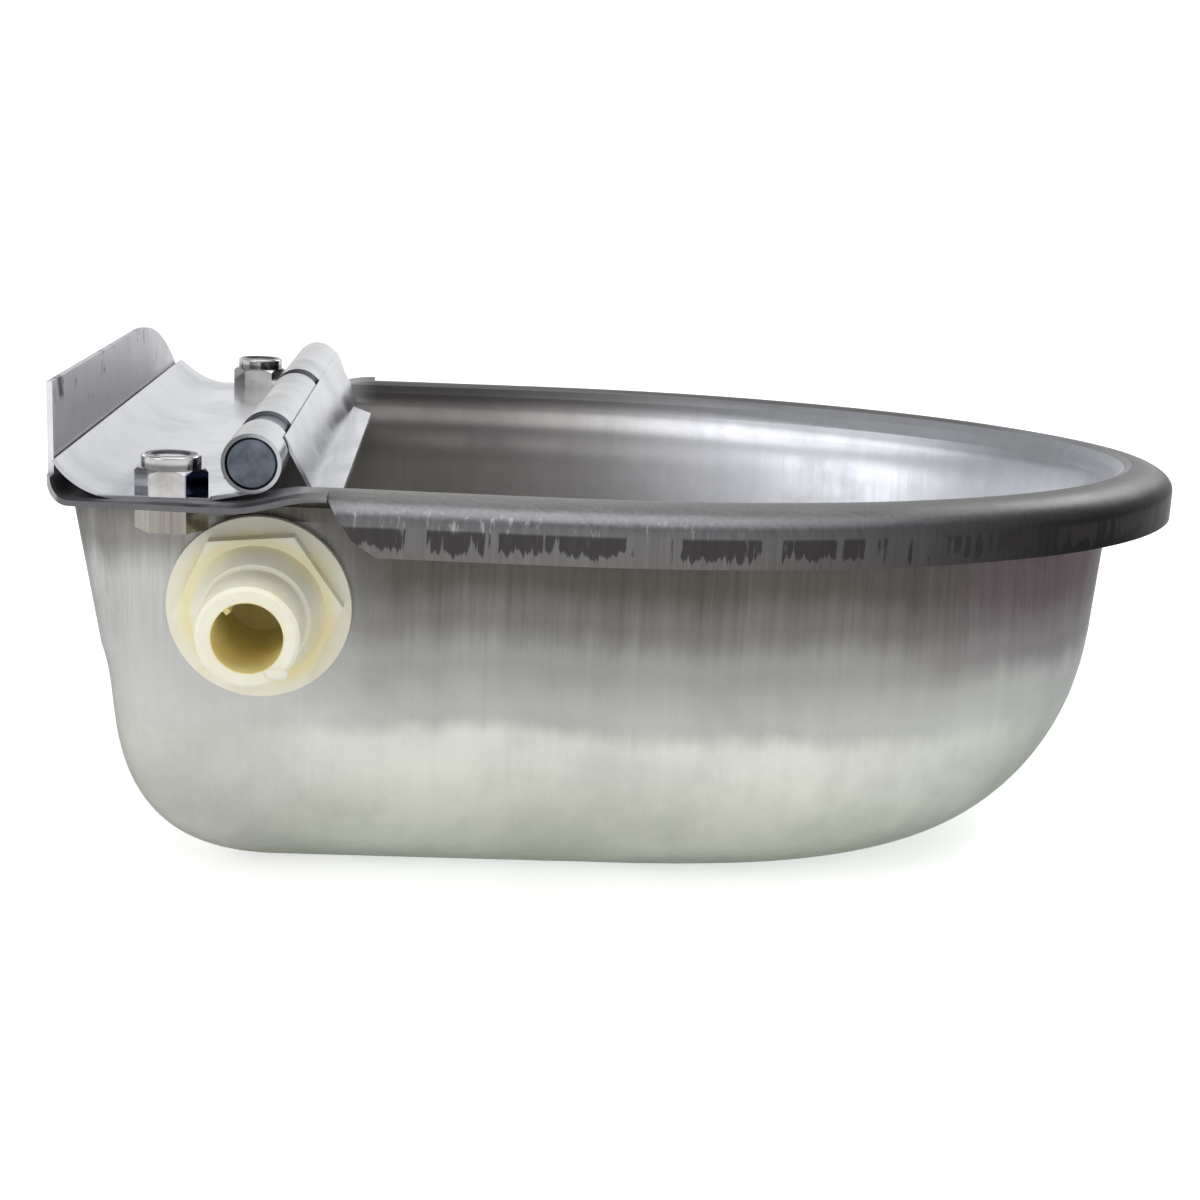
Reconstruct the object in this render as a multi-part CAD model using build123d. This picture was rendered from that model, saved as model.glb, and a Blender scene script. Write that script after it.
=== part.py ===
from build123d import *
import math
import os

# Livestock drinking bowl, millimetres. Origin: centre of the flat floor's underside.
# +X points to the drinking end, the water inlet is on the -Y side, +Z is up.

# Bowl pressing
wall = 1.2
depth = 90.0
back_x = -105.0
widest_x = 10.5
corner_r = 14.0
corner_shrink = 0.25
corner_min_r = 8.0
wall_half_width = 88.2
wall_nose_x = 140.3
wall_power = 2.0
floor_power = 2.71
wall_top_drop = 0.6
back_draft = 10.0
side_draft = 2.0
nose_draft = 6.1
back_bottom_r = 35.0
side_bottom_r = 26.0
nose_bottom_r = 56.0

# Rolled rim, turned down at its outer edge
rim_nose_x = 154.5
rim_half_width = 110.0
rim_back_half_width = 103.8
rim_power = 1.88
lip_slant = 0.72
lip_drop = 12.0
rim_round_width = 10.0
rim_round_drop = 5.5
mouth_drop = 9.0
mouth_flare_back = 1.2
mouth_flare_side = 12.3
mouth_flare_nose = 5.0
lip_start = 57.0
lip_full = 67.0

# Back deck and upstand, bent from the same sheet
deck_drop = 3.3
deck_end = 36.0
joggle_end = 56.0
upstand_height = 19.2
upstand_half_width = 96.5
upstand_bend_r = 4.0
upstand_round_y = 20.0
upstand_round_r = 165.0

# Holes for the wall bolts, in the back wall
wall_hole_r = 4.5
wall_hole_spacing = 100.0
wall_hole_drop = 17.0

# Cover plate and its back lip
cover_t = 0.9
cover_half_width = 101.0
cover_lip_r = 14.8
cover_lip_angle = 57.6
cover_back_gap = 0.4
cover_lip_corner_r = 9.0
cover_front = 33.0

# Hinge between the cover plate and the flap
hinge_reach = 41.1
hinge_rise = 4.5
pin_r = 5.3
pin_fit = 0.05
leaf_t = 0.8
knuckle_gap = 0.15
pin_end_y = 98.6
pin_chamfer = 0.5
near_knuckle_length = 22.6
near_slot = 14.0
middle_knuckle_length = 76.0
far_slot = 10.0
far_knuckle_length = 72.0

# Flap
flap_slope = 61.6
flap_length = 13.0
flap_offset = 6.5
flap_overlap = 0.6
flap_strip = 6.0
flap_strip_tilt = 13.0
flap_near_y = -82.0
flap_taper_y = 90.5
flap_low_y = 84.0
flap_taper_start = 1.5
flap_taper_end = 5.0
flap_notch_start = 8.5
flap_notch_end = 10.5
flap_strip_root_y = 68.0
flap_strip_tip_y = 40.0

# Cover bolts, M8 with self-locking nuts
bolt_reach = 24.7
bolt_y = 95.5
bolt_r = 4.0
bolt_hole_r = 4.5
bolt_flats = 13.0
bolt_head = 5.3
bolt_length = 9.7
nut_height = 8.0
nut_fit = 0.05
nut_chamfer = 0.8
nut_hex_height = 5.2
nut_collar_r = 6.1
nut_collar_round = 0.6
collar_height = 2.0
nut_shell = 0.8

# Inlet
inlet_reach = 42.0
inlet_height = 63.0
thread_r = 10.48
thread_fit = 0.07
thread_relief = 0.5
free_gap = 0.3
inlet_bore_r = 7.25
stub_length = 27.7
stub_chamfer = 0.8
wall_clearance = 0.3
nut_flange_r = 19.4
nut_flange_t = 2.2
inlet_nut_flats = 31.0
inlet_nut_height = 4.2
inlet_nut_gap = 0.25
inlet_nut_turn = 5.0
nut_boss_r = 14.2
nut_boss_top_r = 11.5
nut_boss_height = 5.6
gasket_t = 2.0
gasket_gap = 0.1
rib_t = 1.2
rib_height = 1.6
rib_angle = 135.0
rib_inset = 4.0

# Valve body, seat and plunger
shoulder_r = 15.0
shoulder_t = 3.0
barrel_r = 9.0
barrel_length = 18.0
seat_depth = 2.8
seat_t = 4.0
seat_fit = 0.05
ring_r = 0.9
ring_squeeze = 0.02
nozzle_r = 3.0
nozzle_rise = 2.0
orifice_r = 1.5
guide_r = 6.0
guide_fit = 0.06
plunger_head = 7.5
plunger_length = 19.0
stem_r = 3.2
seal_r = 4.5
seal_t = 1.5
seal_pocket = 1.0
seal_gap = 0.1

# Lever
lever_arm = 9.4
lever_travel = 24.0
lever_rest_drop = 18.0
nose_r = 2.0
nose_t = 2.4
nose_gap = 0.1
lever_width = 7.0
hub_r = 3.0
pivot_pin_r = 1.5
pivot_fit = 0.05
ear_t = 3.0
ear_gap = 0.3
ear_r = 5.0
ear_clearance = 0.4
pin_head_r = 2.8
pin_head_t = 1.2
pin_tail = 3.0
split_pin_r = 0.5
split_pin_reach = 3.4
socket_r = 3.9
socket_gap = 0.6
socket_end = 17.0

# Float and its arm
arm_r = 2.5
arm_start = 8.0
arm_end = 52.0
arm_fit = 0.05
jam_flats = 8.0
jam_height = 3.2
float_start = 36.0
float_length = 62.0
float_width = 32.0
float_height = 30.0
float_wall = 1.6
float_round = 8.0
float_cap_t = 4.0
float_boss_r = 5.0
float_boss_length = 18.0
float_fit = 0.05

rim_z = depth
deck_z = depth - deck_drop
hinge_x = back_x + hinge_reach
hinge_z = rim_z + hinge_rise
far = 400.0


def inset(height, draft, radius, skin):
    """How far a wall face stands in at a height: a drafted wall that an arc joins to the floor."""
    slope = math.radians(draft)
    face_r = radius - skin
    arc_top = radius * (1 - math.sin(slope))
    centre = math.tan(slope) * (depth - wall_top_drop - arc_top) + radius * math.cos(slope)
    if height < radius - face_r * math.sin(slope):
        return centre - math.sqrt(max(face_r ** 2 - (radius - height) ** 2, 0))
    return math.tan(slope) * (depth - wall_top_drop - height) + skin / math.cos(slope)


def plan_face(z, back, nose, half_back, half_wide, power, corner):
    """Level outline: straight back, round back corners, bowed sides and a blunt elliptic nose."""
    def half_width(x):
        return half_wide - (half_wide - half_back) * ((widest_x - x) / (widest_x - back)) ** 2

    start = back + corner
    turn = half_width(start) - corner
    xs = [start + (widest_x - start) * share for share in (0, 0.45, 0.8)]
    points = [(x, half_width(x)) for x in xs]
    for angle in (0, 18, 36, 54, 72, 90):
        across, along = math.sin(math.radians(90 - angle)), math.sin(math.radians(angle))
        x = widest_x + (nose - widest_x) * along ** (2 / power)
        points.append((x, half_wide * across ** (2 / power)))
    lean = corner * (1 - math.sqrt(0.5))
    flow = 2 * (half_wide - half_back) * (widest_x - start) / (widest_x - back) ** 2
    ends = [(1, flow, 0), (0, -1, 0)]
    upper = Edge.make_spline([(x, y, z) for x, y in points], tangents=ends)
    mirrored = [(x, -y, z) for x, y in reversed(points)]
    lower = Edge.make_spline(mirrored, tangents=[(0, -1, 0), (-1, flow, 0)])
    top = turn + corner
    arc = Edge.make_three_point_arc((back, turn, z), (back + lean, top - lean, z), (start, top, z))
    low = Edge.make_three_point_arc((start, -top, z), (back + lean, lean - top, z), (back, -turn, z))
    return Face(Wire([Edge.make_line((back, -turn, z), (back, turn, z)), arc, upper, lower, low]))


def wall_face_at(height, skin, flare=0.0):
    """Outline of the wall at a height: skin 0 is its outer face, skin wall its inner face."""
    back_in = inset(height, back_draft, back_bottom_r, skin)
    side_in = inset(height, side_draft, side_bottom_r, skin)
    nose_in = inset(height, nose_draft, nose_bottom_r, skin)
    lost = wall - skin
    power = wall_power + (floor_power - wall_power) * (1 - height / depth)
    return plan_face(
        height,
        back_x + back_in,
        wall_nose_x - nose_in + (mouth_flare_nose - lost) * flare,
        wall_half_width - side_in + (mouth_flare_back - lost) * flare,
        wall_half_width - side_in + (mouth_flare_side - lost) * flare,
        power + (rim_power - power) * flare,
        max(corner_r - corner_shrink * back_in, corner_min_r),
    )


def bowl_body(skin, top):
    """Solid bounded by one face of the wall: a rounded lower part under a straight drafted part."""
    rise = nose_bottom_r - skin
    heights = [skin + rise * (1 - math.cos(math.radians(a))) for a in (0, 14, 28, 42, 56, 70, 85)]
    faces = [wall_face_at(height, skin) for height in heights]
    return loft(faces) + loft([faces[-1], wall_face_at(top, skin)], ruled=True)


def bell(skin):
    """Solid bounded by one face of the flare that leads the wall into the rim."""
    start = rim_z - mouth_drop
    rise = mouth_drop - (wall - skin)
    steps = [math.radians(a) for a in (0, 25, 48, 69, 90)]
    levels = [(start + rise * math.sin(a), 1 - math.cos(a)) for a in steps]
    return loft([wall_face_at(height, skin, flare) for height, flare in levels], ruled=True)


def cavity():
    """Water space with its flared mouth."""
    above = extrude(wall_face_at(rim_z, wall, 1), amount=upstand_bend_r, dir=(0, 0, 1))
    return bowl_body(wall, rim_z - mouth_drop) + bell(wall) + above


def rim_face_at(inward, z):
    return plan_face(
        z,
        back_x,
        rim_nose_x - inward,
        rim_back_half_width - inward,
        rim_half_width - inward,
        rim_power,
        rim_back_half_width - upstand_half_width,
    )


def rim_dome(skin):
    """Solid under one face of the rim: a straight lip that rounds over onto the crest."""
    wide, high = rim_round_width - skin, rim_round_drop - skin
    steps = [math.radians(a) for a in (0, 20, 38, 54, 70, 90)]
    round_over = [
        (skin + wide * (1 - math.cos(a)), rim_z - rim_round_drop + high * math.sin(a)) for a in steps
    ]
    lip = extrude(rim_face_at(skin, rim_z - rim_round_drop), amount=lip_drop + skin, dir=(0, 0, -1))
    return loft([rim_face_at(inward, z) for inward, z in round_over]) + lip


def side_region(points):
    """Prism across the whole width over an outline in the X-Z plane."""
    face = Plane.XZ * make_face(Polyline(*points, close=True))
    return extrude(face, amount=far, both=True)


def deck_line(drop):
    """Edges of the deck's side profile from the upstand's top to past the joggle, lowered by drop."""
    bend = upstand_bend_r + drop
    left = back_x + wall - drop
    corner = back_x + wall + upstand_bend_r
    arc_z = deck_z + upstand_bend_r
    quarter = bend * math.sqrt(0.5)
    low = deck_z - drop
    return [
        Edge.make_line((left, 0, rim_z + upstand_height), (left, 0, arc_z)),
        Edge.make_three_point_arc(
            (left, 0, arc_z), (corner - quarter, 0, arc_z - quarter), (corner, 0, low)
        ),
        Edge.make_line((corner, 0, low), (back_x + deck_end, 0, low)),
        Edge.make_spline(
            [(back_x + deck_end, 0, low), (back_x + joggle_end, 0, rim_z - drop)],
            tangents=[(1, 0, 0), (1, 0, 0)],
        ),
        Edge.make_line((back_x + joggle_end, 0, rim_z - drop), (back_x + lip_start, 0, rim_z - drop)),
    ]


def closed_prism(edges, *more):
    """Closes a chain of edges through more points and extrudes it across the width."""
    start, end = edges[0] @ 0, edges[-1] @ 1
    points = [end, *more, start]
    closing = [Edge.make_line(a, b) for a, b in zip(points, points[1:])]
    return extrude(Face(Wire(edges + closing)), amount=far, dir=(0, 1, 0), both=True)


def above_deck(drop):
    """Everything above the deck's profile lowered by drop."""
    right = back_x + lip_start
    top = rim_z + upstand_height + wall
    left = back_x + wall - drop
    return closed_prism(deck_line(drop), (right, 0, top), (left, 0, top))


def upstand_outline():
    """Prism along X over the deck's and the upstand's shape seen from the front."""
    top = rim_z + upstand_height
    half = upstand_half_width
    reach = half - upstand_round_y
    fall = upstand_round_r - math.sqrt(upstand_round_r ** 2 - reach ** 2)
    halfway = reach / 2
    mid_fall = upstand_round_r - math.sqrt(upstand_round_r ** 2 - halfway ** 2)
    edges = [
        Edge.make_line((0, -half, deck_z), (0, -half, top)),
        Edge.make_line((0, -half, top), (0, upstand_round_y, top)),
        Edge.make_three_point_arc(
            (0, upstand_round_y, top), (0, upstand_round_y + halfway, top - mid_fall), (0, half, top - fall)
        ),
        Edge.make_line((0, half, top - fall), (0, half, deck_z)),
        Edge.make_line((0, half, deck_z), (0, -half, deck_z)),
    ]
    tall = extrude(Face(Wire(edges)), amount=far, dir=(1, 0, 0), both=True)
    low = Pos(0, 0, deck_z) * Box(2 * far, 2 * far, 2 * upstand_bend_r)
    return tall + low


def deck():
    """Deck sheet: upstand, bend, flat and the joggle up to the rim, inside the rim's outline."""
    sheet = above_deck(wall) - above_deck(0)
    half = rim_back_half_width
    outline = plan_face(
        0, back_x, rim_nose_x, half, rim_half_width, rim_power, half - upstand_half_width
    )
    return sheet & extrude(outline, amount=far, dir=(0, 0, 1)) & upstand_outline()


def rim():
    """Rolled rim from the joggle round the nose, its lip cut away on a slant at the back."""
    shell = rim_dome(0) - rim_dome(wall)
    shell -= side_region([
        (back_x - wall, far), (back_x + joggle_end, far), (back_x + joggle_end, rim_z - wall),
        (back_x + lip_start, rim_z - wall),
        (back_x + (lip_start + lip_full) / 2, rim_z - lip_drop * lip_slant),
        (back_x + lip_full, rim_z - lip_drop), (back_x + lip_full, 0), (back_x - wall, 0),
    ])
    below = Pos(0, 0, rim_z - lip_drop - far / 2) * Box(2 * far, 2 * far, far)
    return shell - below


def valve_plane():
    """Plane on the wall's outer face at the inlet, its z axis straight out of the wall."""
    slope = math.radians(side_draft)
    y = wall_half_width - inset(inlet_height, side_draft, side_bottom_r, 0)
    return Plane(
        origin=(back_x + inlet_reach, -y, inlet_height),
        x_dir=(1, 0, 0),
        z_dir=(0, -math.cos(slope), -math.sin(slope)),
    )


def disc(radius, low, high):
    """Cylinder about the z axis between two heights."""
    return Pos(0, 0, low) * Cylinder(radius, high - low, align=(Align.CENTER, Align.CENTER, Align.MIN))


def hexagon(flats, low, high):
    face = RegularPolygon(flats / 2, 6, major_radius=False)
    return extrude(Pos(0, 0, low) * face, amount=high - low)


def bowl():
    body = bowl_body(0, rim_z - mouth_drop) + bell(0) - above_deck(wall / 2)
    shell = body + deck() + rim() - cavity()
    plane = valve_plane()
    hole = plane.location * disc(thread_r + wall_clearance, -4 * wall, 4 * wall)
    shell -= hole
    for side in (-1, 1):
        place = Pos(back_x + bolt_reach, side * bolt_y, deck_z - wall)
        shell -= place * disc(bolt_hole_r, -wall, 2 * wall)
        across = Pos(back_x, side * wall_hole_spacing / 2, rim_z - wall_hole_drop)
        shell -= across * Rot(0, 90, 0) * disc(wall_hole_r, -wall, 12 * wall)
    return shell


def across_bowl(radius, start, end):
    """Cylinder about the hinge axis between two Y positions."""
    place = Pos(hinge_x, start, hinge_z) * Rot(-90, 0, 0)
    return place * disc(radius, 0, end - start)


def strip_prism(points, start, end):
    """Prism between two Y positions over an outline in the X-Z plane."""
    face = Face(Wire.make_polygon([(x, start, z) for x, z in points]))
    return extrude(face, amount=end - start, dir=(0, 1, 0))


def knuckle(start, end):
    bore = pin_r + pin_fit
    return across_bowl(bore + leaf_t, start, end) - across_bowl(bore, start, end)


near_end = -pin_end_y
middle_start = near_end + near_knuckle_length + near_slot
far_start = middle_start + middle_knuckle_length + far_slot
cover_knuckles = [
    (near_end, near_end + near_knuckle_length),
    (middle_start, middle_start + middle_knuckle_length),
]
far_knuckle = (far_start, far_start + far_knuckle_length)


def cover_lip():
    """Back lip of the cover: an arc that rises off the deck to the upstand."""
    sweep = math.radians(cover_lip_angle)
    outer = cover_lip_r + cover_t
    foot = back_x + wall + cover_back_gap + outer * math.sin(sweep)
    centre = deck_z + outer

    def arc(radius):
        def at(angle):
            return (foot - radius * math.sin(angle), 0, centre - radius * math.cos(angle))
        return Edge.make_three_point_arc(at(0), at(sweep / 2), at(sweep))

    inner, under = arc(cover_lip_r), arc(outer)
    ends = [Edge.make_line(under @ 0, inner @ 0), Edge.make_line(inner @ 1, under @ 1)]
    lip = extrude(Face(Wire([inner, under, *ends])), amount=cover_half_width, dir=(0, 1, 0), both=True)
    tip = inner @ 1
    corner = Pos(tip.X, cover_half_width - cover_lip_corner_r, tip.Z - cover_lip_corner_r)
    round_end = corner * Rot(0, 90, 0) * Cylinder(cover_lip_corner_r, far)
    square = corner * Pos(0, cover_lip_corner_r, cover_lip_corner_r) * Box(
        far, 2 * cover_lip_corner_r, 2 * cover_lip_corner_r
    )
    return lip - (square - round_end), foot


def cover_plate():
    lip, foot = cover_lip()
    front = back_x + cover_front
    low, top = deck_z, deck_z + cover_t
    sheet = lip + strip_prism(
        [(foot, low), (front, low), (front, top), (foot, top)], -cover_half_width, cover_half_width
    )
    under = hinge_z - pin_r - pin_fit
    for start, end in cover_knuckles:
        ramp = [(front, low), (hinge_x, under - leaf_t), (hinge_x, under), (front, top)]
        sheet += strip_prism(ramp, start, end)
        sheet += knuckle(start, end)
        sheet -= across_bowl(pin_r + pin_fit, start - leaf_t, end + leaf_t)
    for side in (-1, 1):
        sheet -= Pos(back_x + bolt_reach, side * bolt_y, deck_z) * disc(bolt_hole_r, -wall, 2 * wall)
    return sheet


def flap_point(offset, along):
    """Point of the flap's section: offset out from the hinge axis, then down along the flap."""
    slope = math.radians(flap_slope)
    x = hinge_x + offset * math.sin(slope) + along * math.cos(slope)
    return x, hinge_z + offset * math.cos(slope) - along * math.sin(slope)


def flap_panel():
    """Sloping panel with its turned-up front strip, from the near edge to the far knuckle's end."""
    tilt = math.radians(flap_strip_tilt)
    corner = leaf_t * math.tan(math.radians((flap_slope + flap_strip_tilt) / 2))
    inner = flap_offset - leaf_t
    bend_x, bend_z = flap_point(flap_offset, flap_length)
    edge_x, edge_z = bend_x + flap_strip * math.cos(tilt), bend_z + flap_strip * math.sin(tilt)
    outline = [
        flap_point(flap_offset, -flap_overlap), (bend_x, bend_z), (edge_x, edge_z),
        (edge_x + leaf_t * math.sin(tilt), edge_z - leaf_t * math.cos(tilt)),
        flap_point(inner, flap_length + corner), flap_point(inner, -flap_overlap),
    ]
    return strip_prism(outline, flap_near_y, far_knuckle[1])


def flap_far_cut():
    """Material taken off the panel's far edge, drawn along the slope and across the bowl."""
    end = far_knuckle[1]
    shape = [
        (flap_taper_start, end), (flap_taper_end, flap_taper_y), (flap_notch_start, flap_taper_y),
        (flap_notch_end, flap_low_y), (far, flap_low_y), (far, far), (flap_taper_start, far),
    ]
    x, z = flap_point(0, 0)
    slope = math.radians(flap_slope)
    down = (math.cos(slope), 0, -math.sin(slope))
    out = (math.sin(slope), 0, math.cos(slope))
    plane = Plane(origin=(x, 0, z), x_dir=down, z_dir=out)
    way = 1 if plane.y_dir.Y > 0 else -1
    face = Face(Wire.make_polygon([plane.from_local_coords((s, way * y, 0)) for s, y in shape]))
    return extrude(face, amount=far, dir=plane.z_dir, both=True)


def flap_strip_cut():
    """Slanted end of the front strip, drawn from above."""
    root = flap_point(flap_offset, flap_length)[0]
    tip = root + flap_strip + leaf_t
    corners = [(root, flap_strip_root_y), (tip, flap_strip_tip_y), (tip, far), (root, far)]
    face = Face(Wire.make_polygon([(x, y, 0) for x, y in corners]))
    return extrude(face, amount=far, dir=(0, 0, 1))


def cover_flap():
    start, end = far_knuckle
    outer = pin_r + pin_fit + leaf_t
    panel = flap_panel() - flap_far_cut() - flap_strip_cut()
    panel -= across_bowl(outer + knuckle_gap, flap_near_y - leaf_t, start)
    turn = math.degrees(math.acos(outer / flap_offset))
    normal = 90 - flap_slope

    def rim_point(radius, angle):
        a = math.radians(angle)
        return hinge_x + radius * math.cos(a), hinge_z + radius * math.sin(a)

    root = [flap_point(flap_offset, 0), rim_point(outer, normal + turn), rim_point(outer - leaf_t, normal)]
    flap = panel + knuckle(start, end) + strip_prism(root, start, end)
    return flap - across_bowl(pin_r + pin_fit, start - leaf_t, end + leaf_t)


def hinge_pin():
    pin = across_bowl(pin_r, near_end, far_knuckle[1])
    return chamfer(pin.edges().filter_by(GeomType.CIRCLE), pin_chamfer)


def cover_bolts():
    """Hexagon bolts from under the deck, one on each side."""
    base = deck_z - wall
    bolt = hexagon(bolt_flats, base - bolt_head, base) + disc(bolt_r, base, base + bolt_length)
    tip = bolt.edges().filter_by(GeomType.CIRCLE).sort_by(Axis.Z)[-1]
    bolt = chamfer(tip, pin_chamfer)
    return [Pos(back_x + bolt_reach, side * bolt_y, 0) * bolt for side in (-1, 1)]


def crown(flats, low, high, bevel):
    """Cone-topped cylinder that takes the corners off a hexagon's top."""
    corner = flats / math.sqrt(3)
    body = disc(corner, low, high)
    return chamfer(body.edges().filter_by(GeomType.CIRCLE).sort_by(Axis.Z)[-1], bevel)


def cover_nuts():
    """Nuts on the cover plate: a hexagon under a round collar that holds the locking ring."""
    base = deck_z + cover_t
    top = base + nut_height
    hex_top = base + nut_hex_height
    nut = hexagon(bolt_flats, base, hex_top) & crown(bolt_flats, base, hex_top, nut_chamfer)
    collar = disc(nut_collar_r, base, top)
    nut += fillet(collar.edges().filter_by(GeomType.CIRCLE).sort_by(Axis.Z)[-1], nut_collar_round)
    nut -= disc(bolt_r + nut_fit, base, top)
    nut -= disc(nut_collar_r - nut_shell, top - collar_height, top)
    return [Pos(back_x + bolt_reach, side * bolt_y, 0) * nut for side in (-1, 1)]


def nut_collars():
    top = deck_z + cover_t + nut_height
    outer = nut_collar_r - nut_shell - nut_fit
    ring = disc(outer, top - collar_height, top) - disc(bolt_r + nut_fit, top - collar_height, top)
    return [Pos(back_x + bolt_reach, side * bolt_y, 0) * ring for side in (-1, 1)]


valve = valve_plane().location
shoulder_face = -(wall + gasket_t)
barrel_face = shoulder_face - shoulder_t
barrel_end = barrel_face - barrel_length
seat_top = barrel_face + seat_depth - seat_t + shoulder_t / 2
seat_base = seat_top - seat_t
nozzle_face = seat_base - nozzle_rise
lever_swing = math.radians(lever_travel / 2)
stroke = 2 * lever_arm * math.sin(lever_swing)
seal_face = nozzle_face - seal_gap - stroke
plunger_front = seal_face - seal_t + seal_pocket
plunger_end = plunger_front - plunger_length
pivot_depth = plunger_end - nose_gap - nose_r + lever_arm * math.sin(lever_swing)
pivot_drop = -lever_arm * math.cos(lever_swing)


def valve_body():
    """Moulded body: threaded stub, inner shoulder, guide barrel and two ears for the lever."""
    free_start = inlet_nut_gap + nut_flange_t + inlet_nut_height + nut_boss_height + free_gap
    body = disc(thread_r, free_start, stub_length)
    body = chamfer(body.edges().filter_by(GeomType.CIRCLE).sort_by(Axis.Z)[-1], stub_chamfer)
    body += disc(thread_r - thread_relief, shoulder_face, free_start)
    body += disc(shoulder_r, barrel_face, shoulder_face) + disc(barrel_r, barrel_end, barrel_face)
    ear_x = (lever_width + ear_t) / 2 + ear_gap
    for side in (-1, 1):
        eye = Pos(side * ear_x, pivot_drop, pivot_depth) * Rot(0, 90, 0) * Cylinder(ear_r, ear_t)
        length = barrel_face - pivot_depth
        bar = Pos(side * ear_x, pivot_drop, pivot_depth + length / 2) * Box(ear_t, 2 * ear_r, length)
        body += eye + bar
    body -= disc(inlet_bore_r, seat_base, stub_length)
    body -= disc(guide_r + guide_fit, barrel_end, seat_base)
    body -= disc(guide_r + ear_clearance, pivot_depth - 2 * ear_r, barrel_end)
    pivot = Pos(0, pivot_drop, pivot_depth) * Rot(0, 90, 0)
    body -= pivot * Cylinder(pivot_pin_r + pivot_fit, far / 4)
    rib = Pos(inlet_bore_r - rib_height / 2, 0, (seat_top + stub_length) / 2)
    body += Rot(0, 0, rib_angle) * rib * Box(rib_height, rib_t, stub_length - seat_top - 2 * rib_inset)
    return valve * body


def wall_gasket():
    top = -wall - gasket_gap
    return valve * (disc(shoulder_r, shoulder_face, top) - disc(thread_r + thread_fit, shoulder_face, top))


def inlet_lock_nut():
    """Flanged hexagon nut with a short cone, screwed up against the wall's outer face."""
    hex_top = nut_flange_t + inlet_nut_height
    nut = disc(nut_flange_r, 0, nut_flange_t) + hexagon(inlet_nut_flats, nut_flange_t, hex_top)
    cone = Cone(nut_boss_r, nut_boss_top_r, nut_boss_height, align=(Align.CENTER, Align.CENTER, Align.MIN))
    nut += Pos(0, 0, hex_top) * cone
    nut -= disc(thread_r - thread_relief + thread_fit, 0, hex_top + nut_boss_height)
    return valve * Pos(0, 0, inlet_nut_gap) * Rot(0, 0, inlet_nut_turn) * nut


def orifice_seat():
    outer = inlet_bore_r - seat_fit
    seat = disc(outer, seat_base, seat_top) + disc(nozzle_r, nozzle_face, seat_base)
    low = (seat_base + seat_top) / 2 - ring_r
    high = low + 2 * ring_r
    groove = disc(outer, low, high) - disc(outer - 2 * ring_r, low, high)
    return valve * (seat - groove - disc(orifice_r, nozzle_face, seat_top))


def seat_ring():
    middle = (seat_base + seat_top) / 2
    section = ring_r - ring_squeeze
    return valve * Pos(0, 0, middle) * Torus(inlet_bore_r - seat_fit - ring_r, section)


def valve_plunger():
    head_end = plunger_front - plunger_head
    plunger = disc(guide_r, head_end, plunger_front) + disc(stem_r, plunger_end, head_end)
    return valve * (plunger - disc(seal_r, plunger_front - seal_pocket, plunger_front))


def plunger_seal():
    return valve * disc(seal_r, seal_face - seal_t, seal_face)


def lever_pin():
    """Pivot pin through both ears, with a flat head at one end."""
    half = lever_width / 2 + ear_gap + ear_t
    pin = disc(pivot_pin_r, -half, half + pin_tail) + disc(pin_head_r, -half - pin_head_t, -half)
    hole = Pos(0, 0, half + pin_tail / 2) * Rot(90, 0, 0) * Cylinder(split_pin_r + pivot_fit, far / 4)
    return valve * Pos(0, pivot_drop, pivot_depth) * Rot(0, 90, 0) * (pin - hole)


def split_pin():
    half = lever_width / 2 + ear_gap + ear_t + pin_tail / 2
    place = valve * Pos(half, pivot_drop, pivot_depth)
    leg = Rot(90, 0, 0) * Cylinder(split_pin_r, 2 * split_pin_reach)
    eye = Pos(0, split_pin_reach + split_pin_r, 0) * Rot(0, 90, 0) * Torus(2 * split_pin_r, split_pin_r)
    return place * (leg + eye)


def lever_plane():
    """Plane at the lever's pivot, its z axis along the arm towards the float."""
    pivot = valve * Pos(0, pivot_drop, pivot_depth)
    angle = math.radians(side_draft - lever_rest_drop)
    return Plane(origin=pivot.position, x_dir=(1, 0, 0), z_dir=(0, math.cos(angle), math.sin(angle)))


def float_lever():
    """Moulded lever: hub, nose that pushes the plunger, and socket for the float's arm."""
    turned = Pos(0, pivot_drop, pivot_depth)
    hub = turned * Rot(0, 90, 0) * Cylinder(hub_r, lever_width)
    lean = Rot(-math.degrees(lever_swing), 0, 0)
    nose = turned * lean * Pos(0, lever_arm / 2, 0) * Box(lever_width, lever_arm, nose_t)
    tip = turned * lean * Pos(0, lever_arm, 0) * Rot(0, 90, 0) * Cylinder(nose_r, lever_width)
    arm = lever_plane().location
    socket_start = ear_r + socket_gap
    neck = arm * Pos(0, 0, socket_start / 2) * Box(lever_width, 2 * hub_r, socket_start)
    socket = arm * disc(socket_r, socket_start, socket_end)
    body = valve * (hub + nose + tip) + neck + socket
    body -= arm * disc(arm_r + arm_fit, arm_start, socket_end)
    return body - valve * turned * Rot(0, 90, 0) * Cylinder(pivot_pin_r + pivot_fit, lever_width)


def float_arm():
    return lever_plane().location * disc(arm_r, arm_start, arm_end)


def arm_nuts():
    """Two lock nuts on the arm: one against the lever's socket, one against the float."""
    places = (socket_end, float_start - jam_height)
    nut = hexagon(jam_flats, 0, jam_height) - disc(arm_r + arm_fit, 0, jam_height)
    return [lever_plane().location * Pos(0, 0, place) * nut for place in places]


def float_block(low, high, shrink):
    """Rounded block about the arm's axis, from one distance along the arm to another."""
    width, height = float_width - 2 * shrink, float_height - 2 * shrink
    block = Pos(0, 0, (low + high) / 2) * Box(width, height, high - low)
    return fillet(block.edges().filter_by(Axis.Z), float_round - shrink)


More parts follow.
